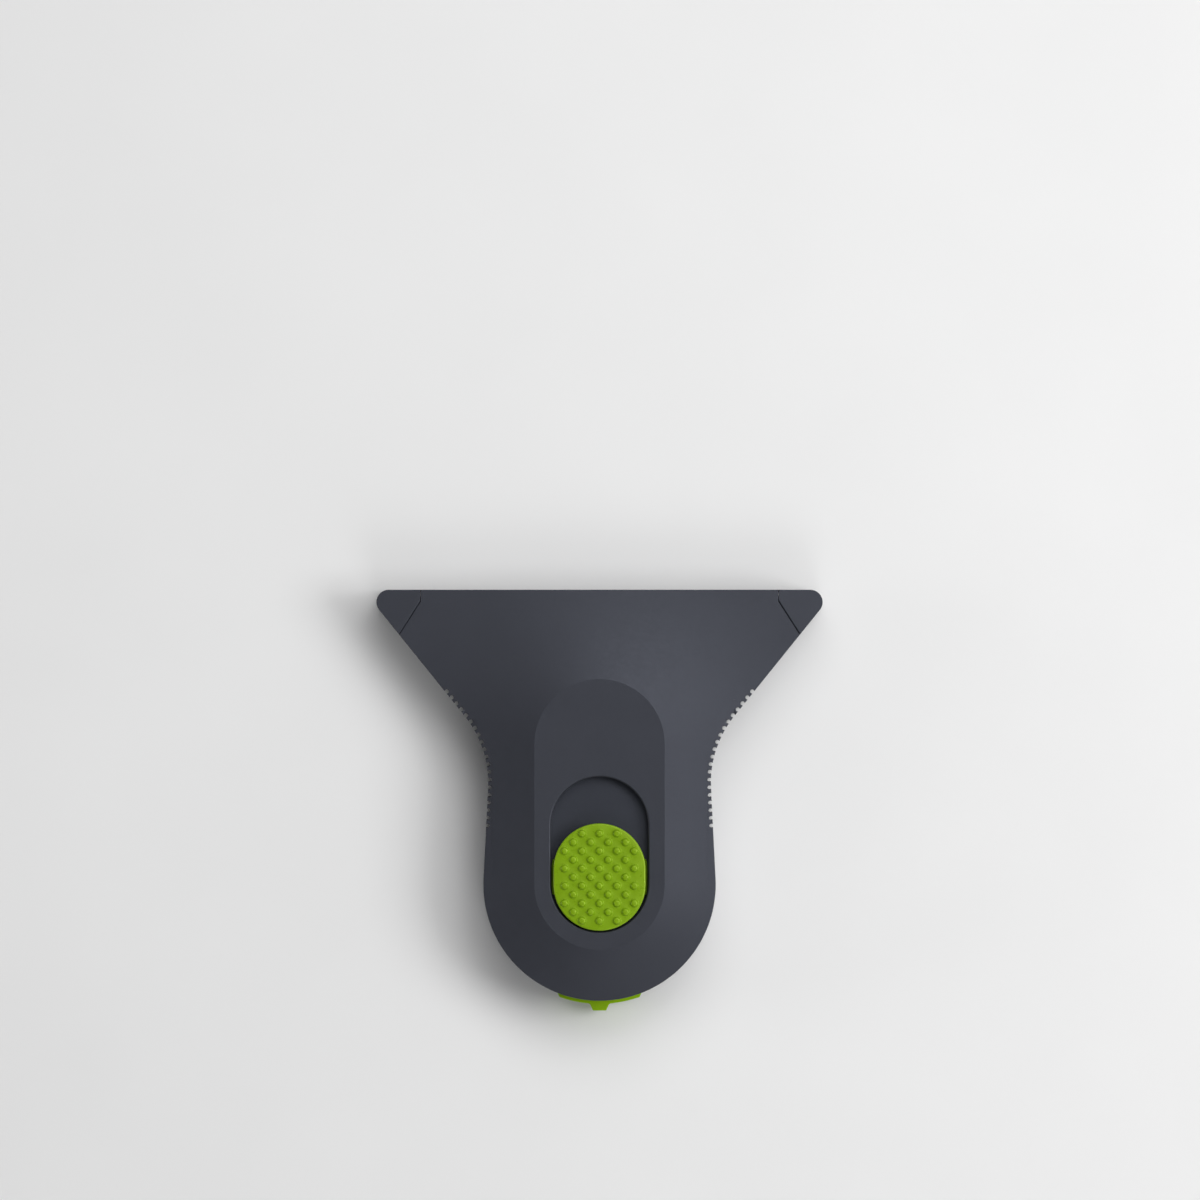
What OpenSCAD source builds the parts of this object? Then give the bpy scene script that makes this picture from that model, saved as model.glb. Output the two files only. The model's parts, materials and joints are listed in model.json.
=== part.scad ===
// Hand scraper with a ceramic blade that a thumb button pushes out and two springs draw back.
// The blade edge faces +Y, the button faces +Z, and the underside rests on z = 0.

/* [Shells] */
// Length of the shells, from the front edge to the round rear end
body_l = 58; // [55:0.5:62]
// Width across the front corners
body_w = 63; // [61:0.5:68]
// Height of the flat land on top
body_h = 11.8; // [11.4:0.1:13.5]
// Radius of the round rear end
end_r = 16.4; // [15.8:0.1:17.5]
// Radius of each front corner
corner_r = 1.75; // [1.2:0.05:2.4]
// Angle of the flared sides to the long axis
flare_angle = 38.9; // [37:0.1:41]
// Angle at which the handle narrows towards the waist
handle_angle = 2.9; // [2:0.1:4]
// Radius of the hollow between handle and flare
waist_r = 15; // [11:0.5:18]
// Slope of the top beside the land
roof_angle = 10.5; // [9:0.5:11.5]
// Width of the straight slope beside the land, before it hollows out
slope_w = 3.8; // [3:0.1:5]
// Radius of the hollow in which the slope flattens
hollow_r = 120; // [110:5:150]
// Slope of the top at the front corners
brim_angle = 2; // [1:0.5:3]
// Slope of the underside, from its flat land up to the edges
under_angle = 3; // [1:0.5:3.5]
// Half width of the flat land underneath
under_r = 12; // [10:0.5:14]
// Thickness of the side walls
wall_t = 1.8; // [1.5:0.1:2]
// Thickness of the roof
roof_t = 1.6; // [1.4:0.1:1.8]
// Thickness of the floor
floor_t = 1.6; // [1.4:0.1:1.8]
// Height at which the two shells part
part_z = 4; // [3.9:0.1:4.4]
// Depth of the cover's front lip
lip_t = 3; // [2.6:0.1:3.4]
// Gap along the seams between the shells
seam_gap = 0.12; // [0.08:0.01:0.16]

/* [Edge grip] */
// Number of notches along each waist
notch_n = 20; // [10:1:24]
// Distance from notch to notch along the edge
notch_pitch = 1.08; // [0.9:0.01:1.3]
// Distance of the middle of the notches behind the middle of the waist
notch_shift = 0.52; // [0.2:0.02:0.8]
// Radius of a notch
notch_r = 0.3; // [0.2:0.05:0.4]
// Depth of a notch
notch_depth = 0.5; // [0.3:0.05:0.6]

/* [Land and pocket] */
// Length of the flat land on top
land_l = 38.2; // [36:0.2:40]
// Width of the flat land beside the thumb pocket
land_w = 2.33; // [2:0.01:2.8]
// Gap between the button and the side of its pocket
pocket_gap = 0.37; // [0.25:0.01:0.5]
// Gap between the drawn-back button and the rear end of its pocket
rear_gap = 0.17; // [0.1:0.01:0.25]
// Radius of the pocket's rounded rim
rim_r = 0.25; // [0.2:0.05:0.6]

/* [Thumb button] */
// Half width of the button
button_r = 6.5; // [5.8:0.05:7.4]
// Length of the button
button_l = 15.15; // [14.5:0.05:16]
// Height of the button above the land
button_proud = 0.6; // [0.3:0.1:1.2]
// Thickness of the soft pad on the button
pad_t = 1; // [0.8:0.1:1.2]
// Radius of the pad's rounded edge
pad_edge = 0.15; // [0.1:0.05:0.2]
// Distance between bumps in a row
bump_pitch = 2.46; // [2.2:0.01:3]
// Diameter at the foot of a bump
bump_d = 1.17; // [0.8:0.01:1.3]
// Diameter at the top of a bump
bump_top_d = 0.8; // [0.4:0.05:0.9]
// Height of a bump
bump_h = 0.4; // [0.2:0.05:0.6]
// Length of the guide lugs beside the button
lug_l = 5; // [4:0.1:6]
// Thickness of the guide lugs
lug_t = 0.6; // [0.5:0.1:1.1]
// Distance that the button slides
slide_travel = 6.21; // [5:0.01:7]

/* [Blade] */
// Distance of the ends of the cutting edge from the ends of the shells
blade_inset = 3; // [2.8:0.1:4.5]
// Length of the blade's back edge
blade_back_w = 30.4; // [29.5:0.1:31.5]
// Depth of the blade, from edge to back
blade_l = 16.4; // [15.8:0.1:16.8]
// Thickness of the blade
blade_t = 0.8; // [0.6:0.05:0.9]
// Depth of the ground bevel along the edge
blade_bevel = 1.6; // [1:0.1:2.5]
// Distance of the drawn-back edge behind the front of the shells
blade_setback = 0.6; // [0.3:0.1:1]
// Number of notches in the blade's back edge
slot_n = 4; // [2:1:4]
// Distance between those notches
slot_pitch = 6.5; // [6:0.1:7]
// Width of those notches
slot_w = 4.2; // [3.5:0.1:4.5]
// Depth of those notches
slot_depth = 4; // [3.4:0.1:4.5]

/* [Sled] */
// Distance of the sled's sides from the return springs
sled_inset = 1.5; // [1.3:0.1:2.2]
// Width of the sled's nose over the blade
nose_w = 25.4; // [24.6:0.2:26]
// Thickness of the sled's nose
nose_t = 1.2; // [1:0.1:1.5]
// Thickness of the shutter plate
shutter_t = 1; // [0.8:0.1:1.2]
// How far the shutter plate reaches past the pocket's rim
shutter_lap = 0.55; // [0.4:0.05:0.7]

/* [Springs] */
// Outer diameter of the return springs
spring_d = 3.4; // [3:0.1:3.6]
// Wire diameter of the return springs
wire_d = 0.4; // [0.3:0.05:0.5]
// Number of turns of a return spring
spring_n = 13; // [8:1:16]
// Distance of the return springs from the walls of the round end
spring_inset = 1.7; // [1.5:0.1:1.9]
// Outer diameter of the latch spring
latch_spring_d = 2.2; // [1.8:0.1:2.4]
// Wire diameter of the latch spring
latch_wire_d = 0.3; // [0.2:0.05:0.35]
// Number of turns of the latch spring
latch_spring_n = 4; // [3:1:4]

/* [Latch] */
// Half angle of the latch's visible strip
latch_angle = 21.5; // [18:0.1:24]
// Slant of the strip's ends to the long axis
latch_slant = 25; // [10:1:45]
// Distance that the strip stands beyond the shells
latch_proud = 0.57; // [0.3:0.01:0.8]
// Distance that the tab's tip stands beyond the shells
tab_reach = 1.5; // [1.2:0.05:2]
// Width of the tab at its root
tab_w = 3.2; // [2.4:0.1:4]
// Width of the tab at its tip
tab_tip_w = 1.9; // [1.4:0.1:2.6]
// Radius of the hollow corners at the tab's root
tab_root_r = 0.5; // [0.3:0.05:0.7]
// Distance that the latch is pressed in
latch_travel = 1; // [0.9:0.05:1.1]

/* [Hinge] */
// Diameter of the hinge pins
pin_d = 0.9; // [0.8:0.05:1]
// Length of the hinge pins
pin_l = 3.6; // [3:0.1:4]
// Distance of the pins from the front face
hinge_inset = 0.8; // [0.75:0.05:0.85]
// Distance of the pins below the top of the corners
hinge_depth = 1; // [0.95:0.05:1.05]
// Width of each front corner, from its end to its inner face
knuckle_w = 6.2; // [5.9:0.1:6.9]
// Depth of the corner's inner face, from the front face to the slanted seam
knuckle_l = 1.45; // [1.4:0.05:1.8]
// Angle of the slanted corner seam to the long axis
seam_angle = 32.5; // [31:0.5:35]
// Lean of the slanted corner seam
seam_lean = 45; // [42:0.5:48]

/* [Hidden] */
$fn = 64;

// Overrun of cuts past the face that they open
over = 1;
// Room between parts that slide on each other
slide_gap = 0.1;
// Room between parts that are pushed together
push_gap = 0.04;
// Room between the shutter plate and the roof
shutter_gap = 0.15;
// Room round a turning pin, and beside the corners that hold it
pin_gap = 0.05;
knuckle_gap = 0.05;
// Height of the blade's bed
bed_z = 2.25;
// Room under and over the blade
blade_gap = 0.05;
// Room over the blade under the cover's lip
lip_gap = 0.4;
// Radius of the inside corners of the shells
inner_r = 0.6;
// Radius of the blade's edge corners
blade_corner_r = 1.2;
// Steps along the outline's corners, waists and round end
corner_steps = 20;
waist_steps = 20;
end_steps = 40;
// Steps along the roof's hollow
hollow_steps = 8;
// Steps round a small edge
edge_steps = 10;

// Places along the long axis
total_l = body_l + tab_reach;
front_y = total_l / 2;
hub_y = front_y - body_l + end_r;
pocket_r = button_r + pocket_gap;
land_r = pocket_r + land_w;
land_span = land_l - 2 * land_r;
button_span = button_l - 2 * button_r;
run_span = button_span + slide_travel;
pocket_y = hub_y + pocket_gap - rear_gap;
pocket_span = hub_y + run_span - pocket_y;
blade_y = front_y - blade_setback;
blade_back_y = blade_y - blade_l;
blade_w = body_w - 2 * blade_inset;

// Heights of the inner parts
blade_z = bed_z + blade_gap;
blade_top = blade_z + blade_t;
lip_z = blade_top + lip_gap;
ceiling_z = body_h - roof_t;
shutter_top = ceiling_z - shutter_gap;
shutter_z = shutter_top - shutter_t;
button_top = body_h + button_proud;
pad_z = button_top - pad_t;
nose_z = blade_top + slide_gap;
nose_top = nose_z + nose_t;
sled_z = floor_t + slide_gap;

// Places across the middle
spring_x = end_r - wall_t - spring_inset - spring_d / 2;
sled_w = 2 * (spring_x - spring_d / 2 - sled_inset);

// Outline of the shells
flare_n = [cos(flare_angle), -sin(flare_angle)];
handle_n = [cos(handle_angle), sin(handle_angle)];
corner_at = [body_w / 2 - corner_r, front_y - corner_r];
flare_k = flare_n * corner_at + corner_r;
handle_k = handle_n * [0, hub_y] + end_r;
side_det = flare_n.x * handle_n.y - flare_n.y * handle_n.x;
waist_at = [((flare_k + waist_r) * handle_n.y - (handle_k + waist_r) * flare_n.y) / side_det,
            ((handle_k + waist_r) * flare_n.x - (flare_k + waist_r) * handle_n.x) / side_det];

// Drop of the top at a distance from the land
hollow_w = hollow_r * (sin(roof_angle) - sin(brim_angle));
function roof_drop(far) =
    let (turn = min(max(far - slope_w, 0), hollow_w) / hollow_r)
    min(far, slope_w) * tan(roof_angle)
    + hollow_r * (cos(asin(sin(roof_angle) - turn)) - cos(roof_angle))
    + max(far - slope_w - hollow_w, 0) * tan(brim_angle);

// Hinge axis
knuckle_x = body_w / 2 - knuckle_w;
land_front_y = hub_y + land_span;
hinge_y = front_y - hinge_inset;
knuckle_far = norm([knuckle_x, hinge_y - land_front_y]) - land_r;
knuckle_top = body_h - roof_drop(knuckle_far);
hinge_z = knuckle_top - hinge_depth;

// Points on an arc
function arc(c, r, a0, a1, n) =
    [for (i = [0 : n]) let (a = a0 + (a1 - a0) * i / n) c + r * [cos(a), sin(a)]];

// Right half of the outline, drawn in by inset
function half_outline(inset) =
    let (r = max(corner_r - inset, inner_r),
         y = front_y - inset - r,
         x = (flare_k - inset - r - flare_n.y * y) / flare_n.x)
    concat(arc([x, y], r, 90, -flare_angle, corner_steps),
           arc(waist_at, waist_r + inset, 180 - flare_angle, 180 + handle_angle, waist_steps),
           arc([0, hub_y], end_r - inset, handle_angle, -90, end_steps));

module plan(inset = 0) {
    right = half_outline(inset);
    left = [for (i = [len(right) - 2 : -1 : 0]) [-right[i].x, right[i].y]];
    polygon(concat(right, left));
}

// Place along the waist edge at a distance s from its middle, with the edge's outward direction
waist_turn = flare_angle + handle_angle;
waist_l = waist_r * waist_turn * PI / 180;
waist_mid = 180 + (handle_angle - flare_angle) / 2;

function edge_turn(s) = min(max(s, -waist_l / 2), waist_l / 2) / waist_r * 180 / PI;
function edge_at(s) =
    let (a = waist_mid + edge_turn(s),
         straight = s - edge_turn(s) * PI / 180 * waist_r)
    waist_at + waist_r * [cos(a), sin(a)] + straight * [-sin(a), cos(a)];
function edge_out(s) = -[cos(waist_mid + edge_turn(s)), sin(waist_mid + edge_turn(s))];

module notched_plan() {
    difference() {
        plan();
        for (side = [1, -1], i = [0 : notch_n - 1]) {
            s = notch_shift + (i - (notch_n - 1) / 2) * notch_pitch;
            at = edge_at(s) - (notch_depth - notch_r) * edge_out(s);
            translate([side * at.x, at.y]) circle(notch_r);
        }
    }
}

// Sweeps a half section round a racetrack that runs span forward from the origin
module racetrack(span) {
    translate([0, span, 0]) rotate_extrude(angle = 180) children();
    rotate(180) rotate_extrude(angle = 180) children();
    translate([0, span, 0]) rotate([90, 0, 0]) linear_extrude(span) {
        children();
        mirror([1, 0]) children();
    }
}

module track_plate(r, z0, z1) {
    polygon([[0, z0], [r, z0], [r, z1], [0, z1]]);
}

module roof(drop = 0) {
    top = body_h - drop;
    bend_at = [land_r + slope_w, top - roof_drop(slope_w)];
    hollow_at = bend_at + hollow_r * [sin(roof_angle), cos(roof_angle)];
    translate([0, hub_y, 0]) racetrack(land_span)
        polygon(concat([[body_w, -over], [0, -over], [0, top], [land_r, top]],
                       arc(hollow_at, hollow_r, 270 - roof_angle, 270 - brim_angle, hollow_steps),
                       [[body_w, top - roof_drop(body_w - land_r)]]));
}

module underside() {
    brim = under_r + body_h / tan(under_angle);
    translate([0, hub_y, 0]) racetrack(land_span)
        polygon([[0, 0], [under_r, 0], [brim, body_h], [0, body_h]]);
}

module both_sides() {
    children();
    mirror([1, 0, 0]) children();
}

// Everything that one front corner of the base takes from the cover
module corner_zone(gap = 0, side_gap = 0) {
    intersection() {
        translate([knuckle_x - side_gap, -body_l, -over])
            cube([body_w, 2 * body_l, body_h + 2 * over]);
        translate([knuckle_x, front_y - knuckle_l, knuckle_top])
            rotate([0, 0, seam_angle]) rotate([0, seam_lean, 0])
                translate([-gap, -body_l, -body_l]) cube(2 * body_l);
    }
}

module form() {
    intersection() {
        linear_extrude(body_h) notched_plan();
        roof();
        underside();
    }
}

module box(x, y0, y1, z0, z1) {
    translate([-x, y0, z0]) cube([2 * x, y1 - y0, z1 - z0]);
}

// Reach of the sled's nose behind the blade's back edge and past its notches
nose_back_l = 2;
nose_front_l = 1.4;
// Room between the spring posts and the sled's nose, and over the rails
post_gap = 0.6;
arm_gap = 0.5;

// Hinge pins, pressed into the base's corners and free to turn in the cover
pin_in = pin_l / 2;

module hinge_bore(d, reach) {
    translate([knuckle_x - reach, hinge_y, hinge_z]) rotate([0, 90, 0]) cylinder(d = d, h = 2 * reach);
}

module hinge_pin() {
    hinge_bore(pin_d, pin_in);
}

// Spring seats: posts on the base and arms on the sled
spring_z = 4.6;
seat_w = spring_d;
seat_t = 1.6;
peg_d = 1.8;
peg_l = 3;
rail_t = 1;
rail_h = 1.3;
// Depth of the sled's arms, and their distance behind the round end's centre
arm_l = 2.4;
arm_back = 1.6;
post_y = blade_back_y - nose_back_l - post_gap - seat_t;
arm_y = hub_y - arm_back;
arm_back_y = arm_y - arm_l;
arm_z = floor_t + rail_h + arm_gap;
seat_top = spring_z + seat_w / 2;

module seat_peg(y, way) {
    translate([spring_x, y, spring_z]) rotate([-90 * way, 0, 0]) cylinder(d = peg_d, h = peg_l);
}

// Latch sizes
latch_z = floor_t + slide_gap;
latch_top = part_z - slide_gap / 2;
latch_r = end_r + latch_proud;
latch_x = end_r * sin(latch_angle);
latch_end_y = hub_y - end_r * cos(latch_angle);
latch_back_y = hub_y - latch_r;
latch_back_x = latch_x - (latch_end_y - latch_back_y) * tan(latch_slant);
// Sides of the tab, and the centre of the hollow corner between a side and the strip's round face
tab_lean = atan2(tab_w - tab_tip_w, 2 * tab_reach);
tab_n = [cos(tab_lean), -sin(tab_lean)];
tab_way = [-sin(tab_lean), -cos(tab_lean)];
tab_k = tab_n * [tab_w / 2, -end_r] + tab_root_r;
tab_root = tab_k * tab_n + sqrt((latch_r + tab_root_r) ^ 2 - tab_k ^ 2) * tab_way;
tab_root_turn = atan2(-tab_root.y, -tab_root.x);
inner_end_r = end_r - wall_t;
shoulder_x = 8;
shoulder_r = inner_end_r - slide_gap;
shoulder_l = 3;
latch_front_y = hub_y - shoulder_r + shoulder_l;
hook_x = 2.8;
hook_gap = 0.35;
hook_t = 1.5;
hook_y = hub_y - sqrt(inner_end_r ^ 2 - hook_x ^ 2) + hook_gap;
hook_top = 6.6;
hook_nose_h = 1;
// Distance of the nose from the cover's wall when the latch is pressed in
hook_clear = 0.4;
hook_reach = hook_y - hub_y + inner_end_r + latch_travel - hook_clear;
catch_gap = 0.2;
latch_post_x = 2.2;
latch_post_t = 1.4;
latch_spring_l = 4;
latch_post_y = latch_front_y + latch_spring_l;
latch_spring_z = latch_z + latch_spring_d / 2 + slide_gap;
latch_post_top = latch_spring_z + latch_spring_d / 2;

// Ribbed finger rest underneath
rest_r = 6;
rest_depth = 0.4;
rib_n = 9;
rib_w = 0.9;

module base_shell() {
    color("#46494f") difference() {
        union() {
            difference() {
                intersection() {
                    form();
                    box(body_w, -body_l, body_l, -over, part_z);
                }
                intersection() {
                    translate([0, 0, floor_t]) linear_extrude(body_h) plan(wall_t);
                    box(body_w, -body_l, blade_back_y - slide_gap, floor_t, body_h);
                }
                translate([0, 0, bed_z]) linear_extrude(body_h) plan(wall_t);
            }
            intersection() {
                form();
                both_sides() corner_zone();
            }
            both_sides() {
                translate([spring_x - seat_w / 2, post_y, floor_t - push_gap])
                    cube([seat_w, seat_t, seat_top - floor_t + push_gap]);
                seat_peg(post_y, -1);
                translate([sled_w / 2 + slide_gap, arm_back_y, floor_t - push_gap])
                    cube([rail_t, post_y - arm_back_y, rail_h]);
            }
            box(latch_post_x, latch_post_y, latch_post_y + latch_post_t,
                floor_t - push_gap, latch_post_top);
        }
        // Channel in the blade's bed for the front of the sled
        box(sled_w / 2 + slide_gap, blade_back_y - over, blade_back_y + slide_travel + slide_gap,
            floor_t, body_h);
        // Ribbed finger rest underneath
        difference() {
            translate([0, hub_y, 0]) racetrack(land_span) track_plate(rest_r, -over, rest_depth);
            for (i = [0 : rib_n - 1]) {
                y = hub_y + (i + 1 / 2) * land_span / rib_n - rib_w / 2;
                box(rest_r, y, y + rib_w, -over, rest_depth);
            }
        }
        // Mouth under the cover's lip
        box(knuckle_x, front_y - lip_t - seam_gap, front_y + over, bed_z, body_h);
        // Slot for the blade through the corners
        translate([0, 0, bed_z]) linear_extrude(blade_t + 2 * blade_gap + slide_gap) {
            intersection() {
                plan(wall_t);
                translate([-body_w, blade_back_y]) square([2 * body_w, body_l]);
            }
            blade_plan(slide_gap);
            translate([-blade_w / 2 - slide_gap, front_y - lip_t])
                square([blade_w + 2 * slide_gap, lip_t + over]);
        }
        // Window for the latch
        box(latch_x + slide_gap, hub_y - end_r - over, hub_y - end_r + 2 * wall_t, floor_t, body_h);
        both_sides() hinge_bore(pin_d, pin_in);
    }
}

module top_cover() {
    color("#43464c") difference() {
        intersection() {
            form();
            union() {
                box(body_w, -body_l, body_l, part_z + seam_gap, body_h + over);
                box(knuckle_x, front_y - lip_t, front_y + over, lip_z, body_h);
            }
        }
        both_sides() corner_zone(seam_gap, knuckle_gap);
        // Inside of the shell
        intersection() {
            translate([0, 0, -over]) linear_extrude(body_h) plan(wall_t);
            roof(roof_t);
            box(body_w, -body_l, front_y - lip_t, -over, body_h);
        }
        // Channel under the roof for the shutter plate
        translate([0, hub_y - slide_travel, 0]) racetrack(run_span + 2 * slide_travel)
            track_plate(pocket_r + shutter_lap + slide_gap, part_z, ceiling_z);
        // Thumb pocket with its rounded rim
        translate([0, pocket_y, 0]) racetrack(pocket_span)
            polygon(concat([[0, shutter_z], [pocket_r, shutter_z]],
                           arc([pocket_r + rim_r, body_h - rim_r], rim_r, 180, 90, edge_steps),
                           [[pocket_r + rim_r, body_h + over], [0, body_h + over]]));
        // Catch for the latch's nose
        box(hook_x + catch_gap, hook_y - hook_reach - catch_gap, hook_y,
            hook_top - hook_nose_h - catch_gap, hook_top + catch_gap);
        both_sides() hinge_bore(pin_d + 2 * pin_gap, pin_in + push_gap);
    }
}

module left_hinge_pin() {
    color("silver") mirror([1, 0, 0]) hinge_pin();
}

module right_hinge_pin() {
    color("silver") hinge_pin();
}

// Places of the blade's notches across its back edge
slots = [for (i = [0 : slot_n - 1]) (i - (slot_n - 1) / 2) * slot_pitch];

// Outline of the blade with room round it: each side runs from a round edge corner to the back corner
module blade_plan(gap = 0) {
    r = blade_corner_r;
    back = [blade_back_w / 2 + gap, blade_back_y - gap];
    centre = [blade_w / 2 + gap - r, blade_y + gap - r];
    reach = centre - back;
    side = atan2(reach.x, reach.y) + asin(r / norm(reach));
    right = concat(arc(centre, r, 90, -side, corner_steps), [back]);
    left = [for (i = [len(right) - 1 : -1 : 0]) [-right[i].x, right[i].y]];
    polygon(concat(right, left));
}

module blade() {
    color("#f2f0ea") difference() {
        translate([0, 0, blade_z]) linear_extrude(blade_t) difference() {
            blade_plan();
            for (x = slots) translate([x, blade_back_y + slot_depth - slot_w / 2]) {
                circle(d = slot_w);
                translate([-slot_w / 2, -slot_depth]) square([slot_w, slot_depth]);
            }
        }
        // Ground bevel on top, down to a fine land at the edge
        translate([-blade_w, blade_y, blade_z]) rotate([90, 0, 90]) linear_extrude(2 * blade_w)
            polygon([[over, 0], [0, blade_gap], [-blade_bevel, blade_t], [-blade_bevel, blade_t + over],
                     [over, blade_t + over]]);
    }
}

// The button's boss goes through the shutter plate into the sled
boss_x = 3;
boss_l = 6;
boss_h = 2.4;
tower_x = 5;
tower_l = 10.4;
tower_back = 4;
tower_y = hub_y - tower_back;
button_mid_y = hub_y + button_span / 2;
boss_y = button_mid_y - boss_l / 2;
boss_z = shutter_z - boss_h;
window_x = 4.5;
window_gap = 2;
window_y = tower_y + tower_l + window_gap;
window_l = 8;
nose_front_y = blade_back_y + slot_depth + nose_front_l;

module boss(gap) {
    box(boss_x + gap, boss_y - gap, boss_y + boss_l + gap, boss_z - gap, shutter_top);
}

module blade_carrier() {
    color("#8d9094") difference() {
        union() {
            box(sled_w / 2, arm_back_y, blade_back_y - slide_gap, sled_z, nose_top);
            box(nose_w / 2, blade_back_y - nose_back_l, nose_front_y, nose_z, nose_top);
            for (x = slots)
                translate([x, blade_back_y + slot_depth - slot_w / 2, bed_z + slide_gap])
                    cylinder(d = slot_w - 2 * slide_gap, h = nose_top - bed_z - slide_gap);
            box(tower_x, tower_y, tower_y + tower_l, sled_z, shutter_z);
            box(spring_x + seat_w / 2, arm_back_y, arm_y, arm_z, seat_top);
            both_sides() seat_peg(arm_y, 1);
        }
        boss(push_gap);
        box(window_x, window_y, window_y + window_l, -over, body_h);
    }
}

// Sheet steel clip on the sled's nose, with two fingers that keep the blade down on its pegs
clip_t = 0.3;
clip_x = 9;
finger_x = 5;
finger_w = 3;
finger_l = 1.6;

module blade_clip() {
    tip_z = blade_top + blade_gap;
    color("silver") {
        box(clip_x, blade_back_y, nose_front_y, nose_top, nose_top + clip_t);
        for (x = [-finger_x, finger_x])
            translate([x - finger_w / 2, 0, 0]) rotate([90, 0, 90]) linear_extrude(finger_w)
                polygon([[blade_back_y, nose_top], [nose_front_y + slide_gap, nose_top],
                         [nose_front_y + finger_l - clip_t, tip_z], [nose_front_y + finger_l, tip_z],
                         [nose_front_y + finger_l, tip_z + clip_t],
                         [nose_front_y + slide_gap, nose_top + clip_t],
                         [blade_back_y, nose_top + clip_t]]);
    }
}

module shutter_plate() {
    color("#3a3d43") difference() {
        translate([0, hub_y - slide_travel, 0]) racetrack(run_span + slide_travel)
            track_plate(pocket_r + shutter_lap, shutter_z, shutter_top);
        boss(push_gap);
    }
}

module slide_button() {
    color("#7a9c1c") {
        translate([0, hub_y, 0]) racetrack(button_span) track_plate(button_r, shutter_top, pad_z);
        boss(0);
        intersection() {
            translate([0, hub_y, 0]) racetrack(button_span)
                track_plate(pocket_r - slide_gap, shutter_top, shutter_top + lug_t);
            box(pocket_r, button_mid_y - lug_l / 2, button_mid_y + lug_l / 2, shutter_top, pad_z);
        }
    }
}

// Bumps lie in staggered rows, on as many places as the pad's top has room for
bump_row = bump_pitch / 2;
bump_rows = ceil(button_l / bump_row);
bump_room = button_r - pad_edge - bump_d / 2;
bump_places = [for (j = [-bump_rows : bump_rows], i = [-bump_rows : bump_rows])
    let (x = (i + ((abs(j) + 1) % 2) / 2) * bump_pitch, y = j * bump_row,
         far = norm([x, max(abs(y) - button_span / 2, 0)]))
    if (far <= bump_room) [x, y]];

module grip_pad() {
    color("#8fb424") {
        translate([0, hub_y, 0]) racetrack(button_span)
            polygon(concat([[0, pad_z], [button_r, pad_z]],
                           arc([button_r - pad_edge, button_top - pad_edge], pad_edge, 0, 90, edge_steps),
                           [[0, button_top]]));
        for (p = bump_places) translate([p.x, button_mid_y + p.y, button_top - push_gap])
            cylinder(d1 = bump_d, d2 = bump_top_d, h = bump_h + push_gap);
    }
}

// Coil spring from z = 0 to z = l round the z axis, as one tube of wire
ring_n = 6;
turn_rings = 8;

function coil_path(r, l, n, d) =
    let (rings = n * turn_rings)
    concat([[r, 0, 0]],
           [for (i = [0 : rings]) [r * cos(i * 360 / turn_rings), r * sin(i * 360 / turn_rings),
                                   d + (l - 2 * d) * i / rings]],
           [[r * cos(n * 360), r * sin(n * 360), l]]);
function unit(v) = v / norm(v);
function path_way(p, i) =
    (i == 0 || i == len(p) - 1) ? [0, 0, 1] : unit(p[min(i + 1, len(p) - 1)] - p[max(i - 1, 0)]);
function ring(c, way, d) =
    let (out = unit([c.x, c.y, 0] - ([c.x, c.y, 0] * way) * way), up = cross(way, out))
    [for (k = [0 : ring_n - 1]) c + d / 2 * (cos(k * 360 / ring_n) * out + sin(k * 360 / ring_n) * up)];
function least_gap(p, d) =
    min([for (i = [0 : len(p) - 1], j = [i + turn_rings / 2 : 1 : len(p) - 1]) norm(p[i] - p[j])]) - d;

module coil(outer_d, l, n, d) {
    path = coil_path((outer_d - d) / 2, l, n, d);
    last = len(path) - 1;
    points = [for (i = [0 : last]) each ring(path[i], path_way(path, i), d)];
    walls = [for (i = [0 : last - 1], k = [0 : ring_n - 1])
        let (a = i * ring_n + k, b = i * ring_n + (k + 1) % ring_n)
        each [[a, a + ring_n, b], [b, a + ring_n, b + ring_n]]];
    ends = [for (k = [1 : ring_n - 2]) each [[0, k, k + 1],
        [last * ring_n, last * ring_n + k + 1, last * ring_n + k]]];
    echo(coil_gap = least_gap(path, d));
    polyhedron(points, concat(walls, ends));
}

module return_spring() {
    translate([spring_x, arm_y, spring_z]) rotate([-90, 0, 0])
        coil(spring_d, post_y - arm_y, spring_n, wire_d);
}

module left_return_spring() {
    color("silver") mirror([1, 0, 0]) return_spring();
}

module right_return_spring() {
    color("silver") return_spring();
}

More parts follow.
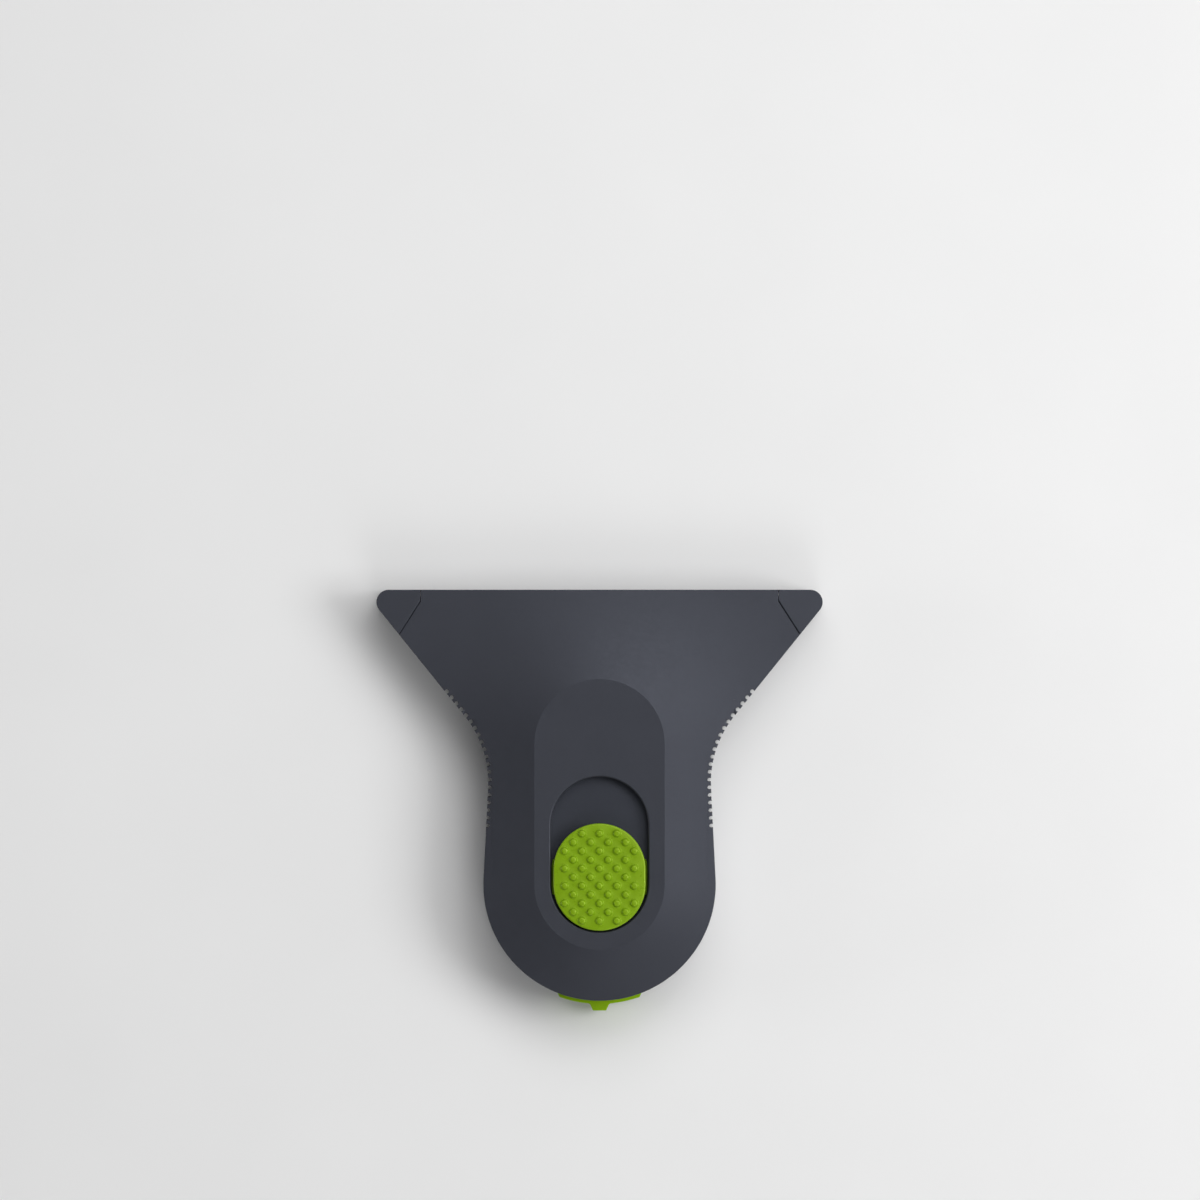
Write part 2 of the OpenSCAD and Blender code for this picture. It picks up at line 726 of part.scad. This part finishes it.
module rear_latch() {
    color("#7fa01f") {
        // Strip with slanted ends
        intersection() {
            translate([0, hub_y, latch_z]) cylinder(r = latch_r, h = latch_top - latch_z);
            translate([0, 0, latch_z]) linear_extrude(latch_top - latch_z)
                polygon([[-latch_x, latch_front_y], [-latch_x, latch_end_y], [-latch_back_x, latch_back_y],
                         [latch_back_x, latch_back_y], [latch_x, latch_end_y], [latch_x, latch_front_y]]);
        }
        intersection() {
            translate([0, hub_y, latch_z]) cylinder(r = shoulder_r, h = latch_top - latch_z);
            box(shoulder_x, hub_y - end_r, latch_front_y, latch_z, latch_top);
        }
        // Tab for a thumb nail
        translate([0, hub_y, latch_z]) linear_extrude(latch_top - latch_z) {
            right = concat([[tab_tip_w / 2, -end_r - tab_reach]],
                           arc(tab_root, tab_root_r, 180 - tab_lean, tab_root_turn, edge_steps),
                           [[tab_root.x, -end_r]]);
            left = [for (i = [len(right) - 1 : -1 : 0]) [-right[i].x, right[i].y]];
            polygon(concat(right, left));
        }
        // Hook that holds the cover down
        translate([-hook_x, 0, 0]) rotate([90, 0, 90]) linear_extrude(2 * hook_x)
            polygon([[hook_y, latch_top - push_gap], [hook_y + hook_t, latch_top - push_gap],
                     [hook_y + hook_t, hook_top], [hook_y, hook_top],
                     [hook_y - hook_reach, hook_top - hook_nose_h / 2],
                     [hook_y - hook_reach, hook_top - hook_nose_h], [hook_y, hook_top - hook_nose_h]]);
    }
}

module latch_spring() {
    color("silver") translate([0, latch_front_y, latch_spring_z]) rotate([-90, 0, 0])
        coil(latch_spring_d, latch_spring_l, latch_spring_n, latch_wire_d);
}

base_shell();
top_cover();
left_hinge_pin();
right_hinge_pin();
blade();
blade_clip();
blade_carrier();
shutter_plate();
slide_button();
grip_pad();
left_return_spring();
right_return_spring();
rear_latch();
latch_spring();
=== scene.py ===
"""Looks of a hand scraper with a thumb slide: moulded slate shells, lime touch points, white blade.

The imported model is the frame. Its nodes keep their shapes and get rounded edges and materials, and the
soft thumb pad and the three springs are replaced by fuller meshes.
"""

import json
import math

import bmesh
import bpy
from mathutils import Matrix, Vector


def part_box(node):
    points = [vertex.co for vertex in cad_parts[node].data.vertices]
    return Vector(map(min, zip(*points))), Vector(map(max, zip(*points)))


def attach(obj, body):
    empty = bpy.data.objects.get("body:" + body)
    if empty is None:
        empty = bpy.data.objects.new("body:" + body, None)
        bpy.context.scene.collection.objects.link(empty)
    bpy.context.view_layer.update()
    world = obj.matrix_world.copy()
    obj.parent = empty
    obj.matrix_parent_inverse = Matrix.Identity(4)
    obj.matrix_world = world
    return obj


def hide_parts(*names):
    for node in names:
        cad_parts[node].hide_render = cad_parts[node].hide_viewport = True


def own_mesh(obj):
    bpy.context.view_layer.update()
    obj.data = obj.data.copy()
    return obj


# Lengths are in metres
MM = 0.001

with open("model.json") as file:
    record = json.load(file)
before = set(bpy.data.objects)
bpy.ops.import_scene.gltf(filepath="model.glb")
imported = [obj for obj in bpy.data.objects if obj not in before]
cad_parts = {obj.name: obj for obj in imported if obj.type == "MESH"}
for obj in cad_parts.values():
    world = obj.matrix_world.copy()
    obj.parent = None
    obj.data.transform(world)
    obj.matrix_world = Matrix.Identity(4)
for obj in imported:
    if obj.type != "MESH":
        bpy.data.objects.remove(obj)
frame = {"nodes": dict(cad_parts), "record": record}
nodes = frame["nodes"]
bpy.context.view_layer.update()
scene = bpy.context.scene


# Materials

# Range in which most of a noise pattern lies
NOISE_LOW = 0.3
NOISE_HIGH = 0.7


def grey(value):
    return (value, value, value, 1)


def scaled(colour, factor):
    return tuple(channel * factor for channel in colour) + (1,)


class Surface:
    """A material with a Principled shader, whose patterns are measured in metres on the object."""

    def __init__(self, name, colour, roughness, metallic=0.0, specular=0.5):
        self.material = bpy.data.materials.new(name)
        self.material.use_nodes = True
        self.tree = self.material.node_tree
        self.shader = self.tree.nodes["Principled BSDF"]
        self.shader.inputs["Base Color"].default_value = scaled(colour, 1)
        self.shader.inputs["Roughness"].default_value = roughness
        self.shader.inputs["Metallic"].default_value = metallic
        self.shader.inputs["Specular IOR Level"].default_value = specular
        self.colour = colour
        self.place = self.tree.nodes.new("ShaderNodeTexCoord").outputs["Object"]

    def link(self, start, end):
        self.tree.links.new(start, end)

    def noise(self, size, detail=2.0, stretch=(1, 1, 1)):
        """Noise with features about size across, drawn out by stretch along each axis."""
        mapping = self.tree.nodes.new("ShaderNodeMapping")
        mapping.inputs["Scale"].default_value = [1 / (size * s) for s in stretch]
        self.link(self.place, mapping.inputs["Vector"])
        noise = self.tree.nodes.new("ShaderNodeTexNoise")
        noise.inputs["Scale"].default_value = 1
        noise.inputs["Detail"].default_value = detail
        self.link(mapping.outputs["Vector"], noise.inputs["Vector"])
        return noise.outputs["Fac"]

    def spread(self, factor, low, high):
        """Maps a noise pattern to the range from low to high."""
        ramp = self.tree.nodes.new("ShaderNodeMapRange")
        ramp.inputs["From Min"].default_value = NOISE_LOW
        ramp.inputs["From Max"].default_value = NOISE_HIGH
        ramp.inputs["To Min"].default_value = low
        ramp.inputs["To Max"].default_value = high
        self.link(factor, ramp.inputs["Value"])
        return ramp.outputs["Result"]

    def tint(self, factor, darkest, lightest):
        """Varies the colour from darkest to lightest times itself."""
        mix = self.tree.nodes.new("ShaderNodeMix")
        mix.data_type = "RGBA"
        self.link(self.spread(factor, 0, 1), mix.inputs["Factor"])
        dark, light = [socket for socket in mix.inputs if socket.type == "RGBA"]
        dark.default_value = scaled(self.colour, darkest)
        light.default_value = scaled(self.colour, lightest)
        result = [socket for socket in mix.outputs if socket.type == "RGBA"][0]
        self.link(result, self.shader.inputs["Base Color"])

    def gloss(self, factor, low, high):
        self.link(self.spread(factor, low, high), self.shader.inputs["Roughness"])

    def relief(self, factor, depth):
        """Gives the surface a fine relief of that depth."""
        bump = self.tree.nodes.new("ShaderNodeBump")
        bump.inputs["Distance"].default_value = depth
        self.link(factor, bump.inputs["Height"])
        self.link(bump.outputs["Normal"], self.shader.inputs["Normal"])


# Sizes of the patterns in the surfaces, how far gloss strays from its mean, and the depth of fine lines
FLOW_MARKS = 7 * MM
GLOSS_PATCHES = 0.6 * MM
GLOSS_SPREAD = 0.04
STEEL_MARKS = 0.05 * MM
STEEL_CLOUDS = 1.5 * MM
GRINDING_LINES = 0.04 * MM
CERAMIC_CLOUDS = 4 * MM
LINE_DEPTH = 0.002 * MM


def moulded(name, colour, roughness, grain, depth, specular=0.5, gloss_tint=(1, 1, 1)):
    """Moulded plastic: spark-eroded grain, faint flow marks and uneven gloss."""
    surface = Surface(name, colour, roughness, specular=specular)
    surface.shader.inputs["Specular Tint"].default_value = scaled(gloss_tint, 1)
    surface.tint(surface.noise(FLOW_MARKS, detail=3), darkest=0.96, lightest=1.04)
    patches = surface.noise(GLOSS_PATCHES, detail=3)
    surface.gloss(patches, roughness - GLOSS_SPREAD, roughness + GLOSS_SPREAD)
    surface.relief(surface.noise(grain), depth)
    return surface.material


def drawn_steel(name, colour, roughness, along):
    """Steel with fine marks drawn out along one axis."""
    surface = Surface(name, colour, roughness, metallic=1.0)
    marks = surface.noise(STEEL_MARKS, detail=3, stretch=along)
    surface.tint(surface.noise(STEEL_CLOUDS), darkest=0.92, lightest=1.05)
    surface.gloss(marks, low=roughness - 0.08, high=roughness + 0.1)
    surface.relief(marks, LINE_DEPTH)
    return surface.material


def ground_ceramic(name, colour):
    """White ceramic with the lines of grinding across its edge and a faint cloud in its colour."""
    surface = Surface(name, colour, roughness=0.32)
    lines = surface.noise(GRINDING_LINES, stretch=(1, 30, 1))
    surface.tint(surface.noise(CERAMIC_CLOUDS, detail=3), darkest=0.97, lightest=1.02)
    surface.gloss(lines, low=0.26, high=0.4)
    surface.relief(lines, LINE_DEPTH)
    return surface.material


SLATE = (0.0268, 0.0283, 0.0350)
# Slate painted darker for the shutter: painted shade on the recessed pocket floor
SLATE_PAINTED_SHADE = (0.0225, 0.0245, 0.0310)
SLATE_GLOSS = (0.78, 0.83, 1.0)
LIME = (0.188, 0.340, 0.0040)
# Lime painted darker for the slide button: painted shade on its side lugs deep in the pocket
LIME_PAINTED_SHADE = (0.13, 0.235, 0.006)
# Lime painted lighter for the rear latch: painted light on the strip that lies in the body's shade
LIME_PAINTED_LIGHT = (0.285, 0.51, 0.009)
LIME_GLOSS = (0.85, 1.0, 0.25)
ACETAL = (0.27, 0.28, 0.30)
CERAMIC = (0.82, 0.81, 0.77)
STEEL = (0.62, 0.62, 0.63)
materials = {
    "shell": moulded("slate_plastic", SLATE, roughness=0.46, grain=0.09 * MM, depth=0.008 * MM,
                     specular=0.52, gloss_tint=SLATE_GLOSS),
    # The shutter's darker slate is painted shade for the pocket floor
    "shutter": moulded("slate_shutter", SLATE_PAINTED_SHADE, roughness=0.5, grain=0.09 * MM, depth=0.006 * MM,
                       specular=0.45, gloss_tint=SLATE_GLOSS),
    # The button's darker lime is painted shade for its lugs in the pocket
    "button": moulded("lime_plastic", LIME_PAINTED_SHADE, roughness=0.42, grain=0.08 * MM, depth=0.005 * MM,
                      specular=0.3, gloss_tint=LIME_GLOSS),
    # The latch's lighter lime is painted light for the shaded strip behind the body
    "latch": moulded("lime_latch", LIME_PAINTED_LIGHT, roughness=0.42, grain=0.08 * MM, depth=0.005 * MM,
                     specular=0.3, gloss_tint=LIME_GLOSS),
    "grip": moulded("lime_rubber", LIME, roughness=0.3, grain=0.07 * MM, depth=0.005 * MM,
                    specular=0.95, gloss_tint=LIME_GLOSS),
    "sled": moulded("grey_acetal", ACETAL, roughness=0.36, grain=0.12 * MM, depth=0.004 * MM),
    "blade": ground_ceramic("white_ceramic", CERAMIC),
    "steel": drawn_steel("ground_steel", STEEL, roughness=0.36, along=(20, 1, 1)),
    "spring_steel": drawn_steel("spring_steel", STEEL, roughness=0.46, along=(12, 1, 1)),
}


# Edges of the nodes that stay

def crease_keeper(lowest, angle):
    """Node group that keeps edges sharp where they lie above a height and bend by more than an angle."""
    group = bpy.data.node_groups.new("keep_creases", "GeometryNodeTree")
    group.interface.new_socket("Geometry", in_out="INPUT", socket_type="NodeSocketGeometry")
    group.interface.new_socket("Geometry", in_out="OUTPUT", socket_type="NodeSocketGeometry")
    start = group.nodes.new("NodeGroupInput")
    end = group.nodes.new("NodeGroupOutput")
    bend = group.nodes.new("GeometryNodeInputMeshEdgeAngle")
    steep = group.nodes.new("FunctionNodeCompare")
    steep.operation = "GREATER_THAN"
    steep.inputs["B"].default_value = math.radians(angle)
    place = group.nodes.new("GeometryNodeInputPosition")
    split = group.nodes.new("ShaderNodeSeparateXYZ")
    above = group.nodes.new("FunctionNodeCompare")
    above.operation = "GREATER_THAN"
    above.inputs["B"].default_value = lowest
    both = group.nodes.new("FunctionNodeBooleanMath")
    both.operation = "AND"
    smooth = group.nodes.new("GeometryNodeSetShadeSmooth")
    smooth.domain = "EDGE"
    smooth.inputs["Shade Smooth"].default_value = False
    group.links.new(bend.outputs["Unsigned Angle"], steep.inputs["A"])
    group.links.new(place.outputs["Position"], split.inputs["Vector"])
    group.links.new(split.outputs["Z"], above.inputs["A"])
    group.links.new(steep.outputs["Result"], both.inputs[0])
    group.links.new(above.outputs["Result"], both.inputs[1])
    group.links.new(start.outputs["Geometry"], smooth.inputs["Geometry"])
    group.links.new(both.outputs["Boolean"], smooth.inputs["Selection"])
    group.links.new(smooth.outputs["Geometry"], end.inputs["Geometry"])
    return group


# Nodes with a shallow crease near their top, and the least bend of that crease in degrees
CREASED = {"top_cover": 8}
CREASE_DEPTH = 0.05 * MM
WELD_GAP = 0.002 * MM
# Faces that bend less than this, in degrees, are joined, and edges that bend more than the next are rounded
FLAT_BEND = 0.4
ROUND_BEND = 28
ROUND_SEGMENTS = 3
FACE_WEIGHT = 60


def round_edges(name, width):
    """Rounds a node's sharp edges by modifiers, which leave its own mesh as it is."""
    node = nodes[name]
    weld = node.modifiers.new("join_faces", "WELD")
    weld.merge_threshold = WELD_GAP
    flat = node.modifiers.new("flat_faces", "DECIMATE")
    flat.decimate_type = "DISSOLVE"
    flat.angle_limit = math.radians(FLAT_BEND)
    if name in CREASED:
        creases = node.modifiers.new("keep_creases", "NODES")
        creases.node_group = crease_keeper(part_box(name)[1].z - CREASE_DEPTH, CREASED[name])
    bevel = node.modifiers.new("round_edges", "BEVEL")
    bevel.width = width
    bevel.segments = ROUND_SEGMENTS
    bevel.limit_method = "ANGLE"
    bevel.angle_limit = math.radians(ROUND_BEND)
    bevel.use_clamp_overlap = False
    bevel.loop_slide = False
    normals = node.modifiers.new("even_normals", "WEIGHTED_NORMAL")
    normals.weight = FACE_WEIGHT
    normals.keep_sharp = True


# Width of the rounding on each node
EDGES = {
    "top_cover": 0.07 * MM,
    "base_shell": 0.07 * MM,
    "slide_button": 0.1 * MM,
    "rear_latch": 0.12 * MM,
    "blade": 0.02 * MM,
    "blade_clip": 0.04 * MM,
    "blade_carrier": 0.12 * MM,
    "shutter_plate": 0.08 * MM,
    "left_hinge_pin": 0.1 * MM,
    "right_hinge_pin": 0.1 * MM,
}
for name, width in EDGES.items():
    round_edges(name, width)

slots = {part["node"]: part["material_slot"] for part in frame["record"]["subparts"]}
for name, node in nodes.items():
    node.data.materials.clear()
    node.data.materials.append(materials[slots[name]])


# Pieces that replace nodes

def piece_from(bm, name, node, body):
    """Turns a bmesh into a smooth piece that stands for a node and rides on its body."""
    bmesh.ops.recalc_face_normals(bm, faces=bm.faces)
    mesh = bpy.data.meshes.new(name)
    bm.to_mesh(mesh)
    bm.free()
    mesh.shade_smooth()
    piece = bpy.data.objects.new(name, mesh)
    scene.collection.objects.link(piece)
    mesh.materials.append(materials[slots[node]])
    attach(piece, body)
    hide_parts(node)
    return piece


def arc(centre, radius, start, end, steps):
    """Points (across, up) on an arc, with angles in degrees."""
    points = []
    for i in range(steps + 1):
        angle = math.radians(start + (end - start) * i / steps)
        points.append((centre[0] + radius * math.cos(angle), centre[1] + radius * math.sin(angle)))
    return points


def bridge(bm, lower, upper):
    """Quads between two closed loops of as many points."""
    count = len(lower)
    for i in range(count):
        j = (i + 1) % count
        bm.faces.new((lower[i], lower[j], upper[j], upper[i]))


def loop_edges(bm, loop):
    return [bm.edges.get((loop[i - 1], loop[i])) for i in range(len(loop))]


# Rounding of the pad's edge, bare margin inside it, and the spacing, sizes and fillets of the bumps
PAD_EDGE = 0.2 * MM
BUMP_MARGIN = 0.15 * MM
BUMP_PITCH = 2.46 * MM
BUMP_D = 1.17 * MM
BUMP_TOP_D = 0.8 * MM
BUMP_H = 0.4 * MM
BUMP_FOOT_R = 0.07 * MM
BUMP_TOP_R = 0.26 * MM
# Steps round each end of the pad, round each bump, and along the arcs of their sections
PAD_END_STEPS = 48
BUMP_STEPS = 28
PAD_EDGE_STEPS = 6
BUMP_FOOT_STEPS = 4
BUMP_TOP_STEPS = 6


def grip_pad():
    """Thumb pad with a rounded edge and staggered blunt bumps that grow out of its top."""
    low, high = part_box("grip_pad")
    radius = (high.x - low.x) / 2
    half_span = (high.y - low.y) / 2 - radius
    centre = (low + high) / 2
    top = high.z - BUMP_H

    def track(inset, z, bm):
        """Racetrack loop round the pad, drawn in by inset."""
        points = []
        for turn, y in ((0, half_span), (math.pi, -half_span)):
            for i in range(PAD_END_STEPS + 1):
                angle = turn + math.pi * i / PAD_END_STEPS
                points.append((centre.x + (radius - inset) * math.cos(angle),
                               centre.y + y + (radius - inset) * math.sin(angle), z))
        return [bm.verts.new(point) for point in points]

    bm = bmesh.new()
    foot = track(0, low.z, bm)
    bm.faces.new(foot)
    below = foot
    for inset, z in arc((PAD_EDGE, top - PAD_EDGE), PAD_EDGE, 180, 90, PAD_EDGE_STEPS):
        loop = track(inset, z, bm)
        bridge(bm, below, loop)
        below = loop
    rim = below

    # Section of a bump from its foot up: a hollow fillet, a straight side and a rounded shoulder
    lean = math.degrees(math.atan2(BUMP_H, (BUMP_D - BUMP_TOP_D) / 2))
    slope = math.radians(lean)
    tangent = BUMP_FOOT_R * math.tan(slope / 2)
    foot_centre = (BUMP_D / 2 + tangent, top + BUMP_FOOT_R)
    section = arc(foot_centre, BUMP_FOOT_R, -90, -90 - lean, BUMP_FOOT_STEPS)
    shoulder = BUMP_TOP_R * math.tan(slope / 2)
    top_centre = (BUMP_TOP_D / 2 - shoulder, high.z - BUMP_TOP_R)
    section += arc(top_centre, BUMP_TOP_R, 90 - lean, 90, BUMP_TOP_STEPS)

    row = BUMP_PITCH / 2
    rows = math.ceil((half_span + radius) / row)
    room = radius - BUMP_MARGIN - BUMP_D / 2
    holes = []
    for j in range(-rows, rows + 1):
        for i in range(-rows, rows + 1):
            x = (i + ((abs(j) + 1) % 2) / 2) * BUMP_PITCH
            y = j * row
            if math.hypot(x, max(abs(y) - half_span, 0)) > room:
                continue
            below = None
            for across, z in section:
                loop = []
                for k in range(BUMP_STEPS):
                    angle = 2 * math.pi * k / BUMP_STEPS
                    loop.append(bm.verts.new((centre.x + x + across * math.cos(angle),
                                              centre.y + y + across * math.sin(angle), z)))
                if below is None:
                    holes.append(loop)
                else:
                    bridge(bm, below, loop)
                below = loop
            bm.faces.new(below)
    edges = loop_edges(bm, rim)
    for loop in holes:
        edges += loop_edges(bm, loop)
    bmesh.ops.triangle_fill(bm, use_beauty=True, edges=edges)
    piece_from(bm, "soft_grip_pad", "grip_pad", "slider")


# Steps in each turn of a spring, sides of its wire, and turns that lie close at each end
COIL_STEPS = 32
WIRE_SIDES = 10
CLOSED_TURNS = 1.25
# Part of a turn over which the pitch of a spring is measured, to each side
PITCH_REACH = 0.02


def coil_spring(node, turns, wire):
    """Compression spring with closed end turns, riding on the base."""
    low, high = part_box(node)
    length = high.y - low.y
    radius = (high.z - low.z - wire) / 2
    axis_x = (low.x + high.x) / 2
    axis_z = (low.z + high.z) / 2
    open_turns = turns - 2 * CLOSED_TURNS
    lead = (length - wire - 2 * CLOSED_TURNS * wire) / open_turns

    def rise(turn):
        """Distance along the spring after so many turns, with the end turns lying close."""
        first = min(turn, CLOSED_TURNS) * wire
        middle = min(max(turn - CLOSED_TURNS, 0), open_turns) * lead
        last = max(turn - CLOSED_TURNS - open_turns, 0) * wire
        return wire / 2 + first + middle + last

    bm = bmesh.new()
    below = None
    count = round(turns * COIL_STEPS)
    for i in range(count + 1):
        turn = turns * i / count
        angle = 2 * math.pi * turn
        out = Vector((math.cos(angle), 0, math.sin(angle)))
        ahead = rise(min(turn + PITCH_REACH, turns))
        behind = rise(max(turn - PITCH_REACH, 0))
        pitch = (ahead - behind) / (2 * PITCH_REACH)
        round_a_turn = 2 * math.pi * radius
        along = Vector((-math.sin(angle) * round_a_turn, pitch, math.cos(angle) * round_a_turn))
        up = along.normalized().cross(out)
        at = Vector((axis_x, low.y + rise(turn), axis_z)) + out * radius
        loop = []
        for k in range(WIRE_SIDES):
            side = 2 * math.pi * k / WIRE_SIDES
            loop.append(bm.verts.new(at + (out * math.cos(side) + up * math.sin(side)) * wire / 2))
        if below is None:
            bm.faces.new(loop)
        else:
            bridge(bm, below, loop)
        below = loop
    bm.faces.new(below)
    piece = piece_from(bm, "wound_" + node, node, "base")
    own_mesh(piece)


grip_pad()
coil_spring("left_return_spring", turns=14.5, wire=0.4 * MM)
coil_spring("right_return_spring", turns=14.5, wire=0.4 * MM)
coil_spring("latch_spring", turns=6.5, wire=0.3 * MM)


# Floor, light and camera

FLOOR_R = 4
FLOOR_STEPS = 96
FLOOR_GREY = (0.86, 0.86, 0.86)
FLOOR_CLOUDS = 30 * MM
FLOOR_GAP = 0.02 * MM
LAMP_DISTANCE = 0.6
# Strength of the sky away from the key light and towards it, and where along that way it starts to rise
KEY_SIDE = (1, 0, 0)
SKY_START = -0.5
SKY_DARK = 0.0
SKY_BRIGHT = 0.56
# Strength of the pale horizon, and the heights in degrees between which it fades out
HORIZON = 0.75
HORIZON_START = 8
HORIZON_END = 20
FRAME_W = 169.9 * MM
PICTURE_CENTRE = (0.07 * MM, 28.3 * MM)
CAMERA_HEIGHT = 3.0
CAMERA_REACH = 100
SENSOR_W = 36.0


def aim(thing, target):
    direction = Vector(target) - thing.location
    thing.rotation_mode = "QUATERNION"
    thing.rotation_quaternion = direction.to_track_quat("-Z", "Y")


def softbox(name, side, height, size, power):
    """Round lamp at an angle from +X towards +Y and an angle of height, both in degrees."""
    lamp = bpy.data.lights.new(name, "AREA")
    lamp.shape = "DISK"
    lamp.size = size
    lamp.energy = power
    light = bpy.data.objects.new(name, lamp)
    scene.collection.objects.link(light)
    turn = math.radians(side)
    rise = math.radians(height)
    across = LAMP_DISTANCE * math.cos(rise)
    light.location = (across * math.cos(turn), across * math.sin(turn), LAMP_DISTANCE * math.sin(rise))
    aim(light, (0, 0, 0))


def floor():
    bm = bmesh.new()
    bmesh.ops.create_circle(bm, cap_ends=True, segments=FLOOR_STEPS, radius=FLOOR_R)
    mesh = bpy.data.meshes.new("floor")
    bm.to_mesh(mesh)
    bm.free()
    surface = Surface("pale_card", FLOOR_GREY, roughness=0.85, specular=0.2)
    surface.tint(surface.noise(FLOOR_CLOUDS), darkest=0.99, lightest=1.01)
    mesh.materials.append(surface.material)
    plane = bpy.data.objects.new("floor", mesh)
    scene.collection.objects.link(plane)
    plane.location.z = -FLOOR_GAP


def studio_sky():
    """Soft white surround, pale along the horizon and above it brighter towards the key light."""
    world = bpy.data.worlds.new("studio")
    world.use_nodes = True
    scene.world = world
    tree = world.node_tree
    background = tree.nodes["Background"]
    background.inputs["Color"].default_value = grey(1)
    ray = tree.nodes.new("ShaderNodeTexCoord")
    side = tree.nodes.new("ShaderNodeVectorMath")
    side.operation = "DOT_PRODUCT"
    side.inputs[1].default_value = KEY_SIDE
    ramp = tree.nodes.new("ShaderNodeMapRange")
    ramp.inputs["From Min"].default_value = SKY_START
    ramp.inputs["From Max"].default_value = 1
    ramp.inputs["To Min"].default_value = SKY_DARK
    ramp.inputs["To Max"].default_value = SKY_BRIGHT
    split = tree.nodes.new("ShaderNodeSeparateXYZ")
    horizon = tree.nodes.new("ShaderNodeMapRange")
    horizon.inputs["From Min"].default_value = math.sin(math.radians(HORIZON_END))
    horizon.inputs["From Max"].default_value = math.sin(math.radians(HORIZON_START))
    horizon.inputs["To Min"].default_value = 0
    horizon.inputs["To Max"].default_value = HORIZON
    brighter = tree.nodes.new("ShaderNodeMath")
    brighter.operation = "MAXIMUM"
    tree.links.new(ray.outputs["Generated"], side.inputs[0])
    tree.links.new(side.outputs["Value"], ramp.inputs["Value"])
    tree.links.new(ray.outputs["Generated"], split.inputs["Vector"])
    tree.links.new(split.outputs["Z"], horizon.inputs["Value"])
    tree.links.new(ramp.outputs["Result"], brighter.inputs[0])
    tree.links.new(horizon.outputs["Result"], brighter.inputs[1])
    tree.links.new(brighter.outputs["Value"], background.inputs["Strength"])


def camera():
    """Camera straight above, with the blade edge towards the top of the picture."""
    data = bpy.data.cameras.new("camera")
    data.sensor_width = SENSOR_W
    data.lens = SENSOR_W * CAMERA_HEIGHT / FRAME_W
    data.clip_end = CAMERA_REACH
    thing = bpy.data.objects.new("camera", data)
    scene.collection.objects.link(thing)
    thing.location = (PICTURE_CENTRE[0], PICTURE_CENTRE[1], CAMERA_HEIGHT)
    scene.camera = thing


floor()
studio_sky()
softbox("key", side=0, height=45, size=0.3, power=1.25)
softbox("top", side=40, height=60, size=0.4, power=0.95)
softbox("front", side=90, height=55, size=0.4, power=0.75)
softbox("rear_fill", side=-75, height=45, size=0.3, power=0.42)
softbox("left_fill", side=180, height=13, size=0.25, power=0.5)
camera()
scene.view_settings.view_transform = "Standard"
